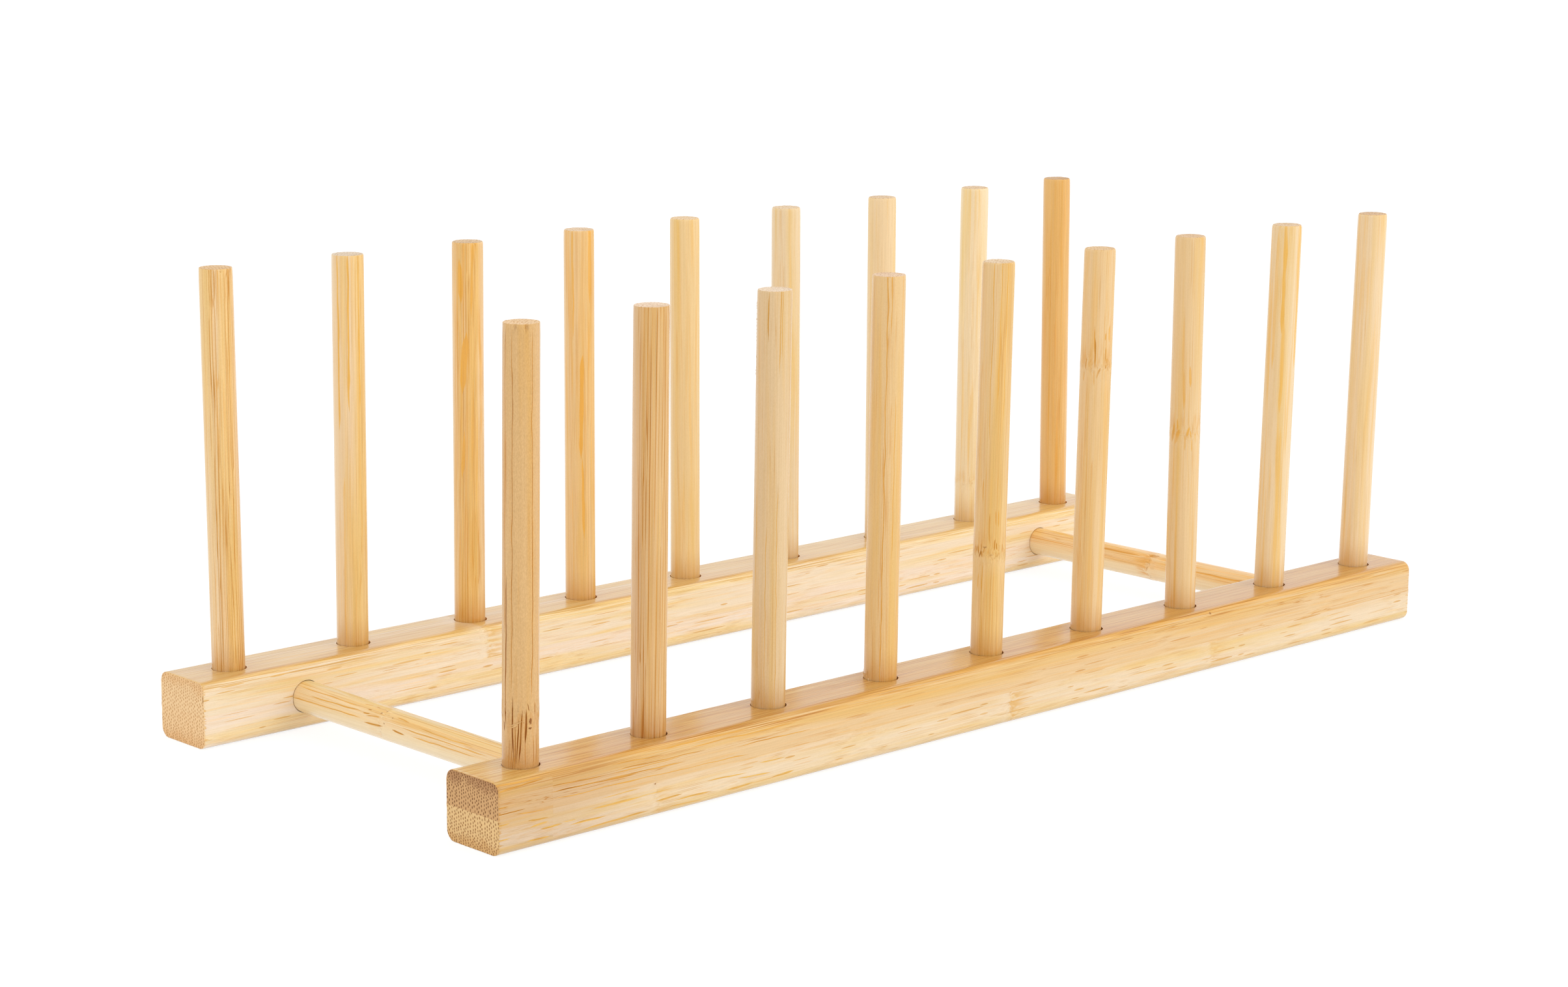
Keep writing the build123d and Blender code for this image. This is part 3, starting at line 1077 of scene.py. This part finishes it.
cross_bars = {
    "left": dict(
        ground=(0.94, 0.655, 0.315), dense=60.0, knots=((12.0, 3.0, 0.45),), painted_bounce_below=0.75,
        painted_crest_reflection=1.0,
        strokes=(
            (-2.5, -2.7, 10.5, 19, 0.2, 1.15), (-0.3, -1.2, 12.5, 18.5, 0.12, 0.9),
            (-0.45, -0.65, 17, 20, 0.14, 1), (0.55, 0.5, 17.2, 18.8, 0.15, 1),
            (1.9, 2.1, 15.3, 17, 0.13, 1), (2.1, 1.6, 18, 21.5, 0.12, 0.8), (0.6, 0.6, 21, 48, 0.12, 0.75),
            (-0.5, -0.9, 19.5, 42, 0.13, 0.8), (-2.1, -2.6, 19.5, 50, 0.12, 0.75),
            (0.6, 0.9, 2, 7.6, 0.15, 0.85), (-2.9, -2.5, 2, 7.6, 0.15, 0.9),
            (-1.2, -1.35, -30, 4.3, 0.11, 0.8), (-2.4, -2.5, -26, 0.8, 0.12, 0.75),
            (-0.2, -0.2, -24, -1.2, 0.11, 0.7), (2.6, 2.4, -45, -6, 0.1, 0.6),
        ),
        marks=(
            ((0.6, 13.4, 0), (0.35, 0.4, through), 0.6), ((1.7, 12.2, 0), (0.6, 0.18, through), 0.7),
            ((-1.7, 10.7, 0), (0.18, 0.4, through), 0.7), ((0.35, 8.6, 0), (0.2, 0.35, through), 0.6),
        ),
    ),
    "right": dict(
        ground=(0.94, 0.62, 0.285), hairs=0.6, patches=0.9, dense=40.0, knots=((1.0, 3.0, 0.9),), calm=2.0,
        painted_bounce_below=0.75,
        strokes=(
            (1.5, 1.2, -1.5, 2.5, 0.5, 1), (0.4, 0.2, 4, 30, 0.25, 0.8), (-0.8, -0.9, -40, -4, 0.2, 0.8),
        ),
    ),
}

rail_strips = {
    "front_upper": dict(
        ground=(0.79, 0.515, 0.225), outer_warmth=0.35, golden_from=(2.5, 6.5), hairs=0.8, patches=0.45,
        dash=45.0, end=(0.70, 0.41, 0.183), end_dark=(0.51, 0.268, 0.118), end_core=(0.20, 0.08, 0.022),
        calm=1.7, steady=1.0, slope=0.012, edge_gold=1.0, dashes=0.35, near_end=-150.5,
        strokes=(
            (6.7, 7.4, -168, -151.5, 0.16, 0.9), (7.9, 7.7, -168, -151.5, 0.14, 0.6),
            (5.2, 4.6, -152, -134, 0.13, 0.9), (3.7, 3.2, -152, -125, 0.14, 0.9),
            (2.1, 1.7, -152, -124, 0.08, 0.7), (1.5, 1.4, -168, -158, 0.12, 0.95),
            (0.6, 0.2, -162, -152, 0.08, 0.7), (3, 3, -168, -163, 0.12, 0.8),
            (4.5, 4.6, -134, -112, 0.1, 0.75), (6.6, 6, -134, -117, 0.1, 0.7),
            (5.2, 4.7, -133, -104, 0.11, 0.8), (3.6, 3.2, -136, -110, 0.12, 0.85),
            (2, 1.1, -134, -90, 0.09, 0.55), (3.6, 3.5, -96, -70, 0.1, 0.7), (6.3, 6, -110, -75, 0.12, 0.6),
            (7.4, 7.2, -120, -90, 0.15, 0.6),
        ),
        marks=(((7.6, 78.0, -9.0), (0.4, 0.5, 0.6), 0.8),),
    ),
    "front_lower": dict(
        ground=(0.84, 0.635, 0.375), streaks=0.3, hairs=0.3, patches=0.4, dash=17.0,
        end=(0.865, 0.58, 0.27), end_dark=(0.78, 0.48, 0.20), end_core=(0.33, 0.14, 0.04),
        knots=((-120.0, 3.0, 0.6), (-1.0, 3.5, 1.0), (78.0, 4.0, 0.6)), scar=0.25, calm=1.9, slope=0.034,
        outer_warmth=0.2, dashes=0.6, near_end=-150.5, joint_warmth=1.0,
        marks=(((-0.3, -120.3, -9.5), (0.22, 0.3, 0.6), 0.9),),
        strokes=(
            (-0.9, -0.9, -167, -162.5, 0.14, 0.95), (-1.5, -1.8, -158, -151.5, 0.17, 0.85),
            (-3.1, -2.6, -157.5, -151.5, 0.17, 0.75), (-4.2, -4.1, -154.5, -147.5, 0.2, 0.85),
            (-3.8, -3.9, -148, -143.5, 0.09, 0.6), (-4.9, -4.9, -146, -134.5, 0.19, 0.75),
            (-6.2, -6.1, -158.5, -151, 0.2, 0.8), (-2.5, -2.5, -140, -124, 0.2, 0.65),
            (-4.5, -4.4, -168, -162.5, 0.14, 0.9), (-6.7, -6.4, -143, -121, 0.22, 0.7),
            (-0.6, -0.5, -137, -124, 0.1, 0.6), (-2.8, -2.3, -134, -114, 0.12, 0.55),
            (-4.6, -4.4, -120.5, -111.5, 0.18, 0.7), (-5.5, -5.5, -115, -102, 0.18, 0.75),
            (-3.1, -3.2, -105, -91, 0.14, 0.6), (-4.1, -4.7, -95, -83.5, 0.18, 0.7),
            (-6.3, -6.1, -99, -89, 0.22, 0.75), (-6.1, -5.8, -84, -76, 0.2, 0.7),
            (-1.7, -2, -88, -79, 0.12, 0.65), (-6.8, -7.2, -117, -104, 0.16, 0.6),
        ),
    ),
    # The back strips' grounds are paler than the front strips': partly their own tone, partly painted light,
    # as the back rail stands in brighter light
    "back_upper": dict(
        ground=(0.95, 0.75, 0.48), streaks=0.4, hairs=0.4, dash=20.0, end=(0.95, 0.66, 0.36),
        end_dark=(0.90, 0.58, 0.29), end_core=(0.59, 0.30, 0.105), knots=((-78.0, 4.0, 0.8),), scar=0.25,
        calm=2.0, steady=0.9, slope=0.02, edge_gold=0.7, face_shade=0.17, dashes=0.45,
        marks=(((4.4, -166.0, -9.1), (1.0, 1.0, 0.2), 1.0),),
    ),
    "back_lower": dict(
        ground=(0.96, 0.77, 0.545), streaks=0.3, hairs=0.3, patches=0.4, dash=14.0, end=(0.95, 0.65, 0.35),
        end_dark=(0.90, 0.57, 0.28), end_core=(0.59, 0.30, 0.105), calm=1.9, slope=0.034, outer_warmth=0.2,
        dashes=0.55, joint_warmth=0.5,
    ),
}


# Pieces

dowels = dowel_tree()
strips = rail_strip_tree()

rows = {"front": front_posts, "back": back_posts}
levels = {"lower": -1.0, "upper": 1.0}
post_count = len(front_posts)
foot_play = 0.08 * MM   # each post leans on one side of its hole
dowel_wear = 0.11 * MM
strip_wear = 0.12 * MM
no_knot = -100.0        # a height where a dowel has no knot


def in_place(piece, node):
    """Hands a finished piece over in place of the plain solid of the same name."""
    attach(piece, "root")
    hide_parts(node)


def make_dowel(node, look, seed, values):
    """A dowel with its own look, and these values for its size, its place and its ends."""
    piece = grown(dowels, node + "_turned", {
        "Rim Rounding": look["rim"] * MM,
        "Foot Chamfer": dowel_foot_chamfer,
        "Around": look["around"],
        "Along": look["along"],
        "Grain Turn": math.pi / 2 - (shown_side + math.radians(look["dense"])),
        "Grain Offset": (seed * 3.1, 4.0, seed * 7.7),
        "Wear": dowel_wear,
        "Chip": look["chip"],
        "Second Chip": look["second_chip"],
        "Knot Height": look["knots"][0][0] if look["knots"] else no_knot,
        "Knot Swelling": look["swelling"] * MM,
        "Fibres": look["fibres"],
        "Fibre Place": look["fibre_place"],
        "Fibre Spread": look["fibre_spread"],
        "Fibre Length": look["fibre_length"] * MM,
        "Fibre Lie": look["fibre_lie"],
        "Fibre Radius": look["fibre_radius"] * MM,
        **values,
    })
    in_place(piece, node)


def make_post(row, number):
    node = f"{row}_post_{number}"
    low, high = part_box(node)
    centre = (low + high) / 2
    rail_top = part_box(f"{row}_rail_upper_strip")[1].z
    look = {**plain_look, "painted_foot_shade": 1.0, **rows[row][number]}
    seed = number * 13.7 + list(rows).index(row) * 5.3
    make_dowel(node, look, seed, {
        "Radius": (high.x - low.x) / 2 + look["swell"] * MM,
        "Length": high.z - low.z,
        "Rim Rings": 6,
        "Pivot": rail_top - low.z,
        "Lean": (look["lean"][0] * MM, look["lean"][1] * MM, 0.0),
        "Foot": (centre.x - foot_play, centre.y + foot_play, low.z),
        "Material": bamboo(node + "_bamboo", look, "z"),
    })


def make_bar(side):
    node = f"{side}_cross_bar"
    low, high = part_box(node)
    centre = (low + high) / 2
    look = {**plain_look, "rim": dowel_foot_chamfer / MM, "swelling": 0.1, **cross_bars[side]}
    seed = 3.0 if side == "left" else 8.0
    make_dowel(node, look, seed, {
        "Radius": (high.x - low.x) / 2,
        "Length": high.y - low.y,
        "Rim Rings": 4,
        "Pivot": (high.y - low.y) / 2,
        "Turn": (-math.pi / 2, 0.0, 0.0),
        "Foot": (centre.x, low.y, centre.z),
        "Material": bamboo(node + "_bamboo", look, "y"),
    })


def make_strip(row, level):
    node = f"{row}_rail_{level}_strip"
    low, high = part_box(node)
    post_low, post_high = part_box(f"{row}_post_1")
    next_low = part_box(f"{row}_post_2")[0]
    bar_low, bar_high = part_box("right_cross_bar")
    glue_line = (bar_low.z + bar_high.z) / 2
    rail_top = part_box(f"{row}_rail_upper_strip")[1].z
    seed = 11.0 * (list(rows).index(row) + 1) + levels[level] * 3.0
    offset = seed * 9.1
    look = {**plain_look, **rail_strips[f"{row}_{level}"]}
    look["half_length"] = (high.x - low.x) / 2 / MM
    if look["near_end"]:
        look["breaks"] = ((look["near_end"] + offset, 1.0),)
    piece = grown(strips, node + "_planed", {
        "Length": high.x - low.x,
        "Width": high.y - low.y,
        "Thickness": high.z - low.z,
        "Edge Radius": rail_edge_radius,
        "End Break": rail_end_break,
        "Centre": (0.0, (low.y + high.y) / 2, glue_line),
        "Outward": levels[level],
        "Holes": post_count,
        "Hole Radius": (post_high.x - post_low.x) / 2 + post_hole_clearance,
        "Hole Foot": post_low.z,
        "Hole Top": rail_top,
        "Hole Pitch": next_low.x - post_low.x,
        "Rim Break": hole_rim_break,
        "Bar Radius": (bar_high.x - bar_low.x) / 2 + bar_hole_clearance,
        "Bar Places": (bar_low.x + bar_high.x) / 2,
        "Bar Seat": bar_high.y,
        "Grain Offset": (seed * 2.3, 0.0, offset),
        "Wear": strip_wear,
        "Material": bamboo(node + "_bamboo", look, "x"),
    })
    in_place(piece, node)


for row in rows:
    for level in levels:
        make_strip(row, level)
    for number in rows[row]:
        make_post(row, number)
for side in cross_bars:
    make_bar(side)


# Camera, from the front left and slightly above

camera = add_object("camera", bpy.data.cameras.new("camera"))
camera.data.sensor_width = 36.0
camera.data.lens = 77.41
camera_place = (-0.60969, -0.62896, 0.22987)
camera_turn = math.radians(-43.307)
camera_drop = math.radians(11.653)
camera_roll = math.radians(0.346)
camera.matrix_world = (
    Matrix.Translation(camera_place)
    @ Matrix.Rotation(camera_turn, 4, "Z")
    @ Matrix.Rotation(math.pi / 2 - camera_drop, 4, "X")
    @ Matrix.Rotation(camera_roll, 4, "Z")
)
bpy.context.scene.camera = camera


# Floor, light and surroundings

white = (1.0, 1.0, 1.0, 1.0)
pale_grey = (0.92, 0.92, 0.92, 1.0)
dark_grey = (0.25, 0.25, 0.25, 1.0)


def shown_apart(graph, kind, hidden, shown):
    """Ends a tree with one shader for the light that it gives, and one for how it is itself seen."""
    rays = graph.node("ShaderNodeLightPath", None, None, "Is Camera Ray")
    seen = rays.math("MAXIMUM", rays.also("Is Glossy Ray"))
    shader = graph.node("ShaderNodeMixShader", None, {0: seen, 1: hidden, 2: shown})
    graph.node(kind, None, {"Surface": shader})


def make_floor():
    reach = 7.0
    corners = [(-reach, -reach, 0), (reach, -reach, 0), (reach, reach, 0), (-reach, reach, 0)]
    mesh = bpy.data.meshes.new("floor")
    mesh.from_pydata(corners, [], [(0, 1, 2, 3)])
    material = bpy.data.materials.new("floor_white")
    graph = empty_graph(material)
    matt = graph.node("ShaderNodeBsdfDiffuse", None, {"Color": pale_grey})
    veil = graph.node("ShaderNodeBsdfDiffuse", None, {"Color": dark_grey})
    glow = graph.node("ShaderNodeEmission", None, {"Color": white, "Strength": 0.83})
    bright = graph.node("ShaderNodeAddShader", None, {0: veil, 1: glow})
    shown_apart(graph, "ShaderNodeOutputMaterial", matt, bright)
    mesh.materials.append(material)
    floor = add_object("floor", mesh)


def make_world():
    world = bpy.data.worlds.new("white_surroundings")
    graph = empty_graph(world)
    soft = graph.node("ShaderNodeBackground", None, {"Color": white, "Strength": 0.95})
    plain = graph.node("ShaderNodeBackground", None, {"Color": white, "Strength": 1.0})
    shown_apart(graph, "ShaderNodeOutputWorld", soft, plain)
    bpy.context.scene.world = world


def make_lamp(name, place, target, size, power):
    lamp = add_object(name, bpy.data.lights.new(name, "AREA"))
    lamp.data.shape = "DISK"
    lamp.data.size = size
    lamp.data.energy = power
    lamp.visible_glossy = False
    aim = Vector(target) - Vector(place)
    lamp.matrix_world = Matrix.Translation(place) @ aim.to_track_quat("-Z", "Y").to_matrix().to_4x4()


make_floor()
make_world()
make_lamp("front_right_softbox", place=(1.2, -2.0, 1.3), target=(0.0, 0.0, 0.05), size=1.6, power=14.0)

bpy.context.scene.view_settings.view_transform = "Standard"
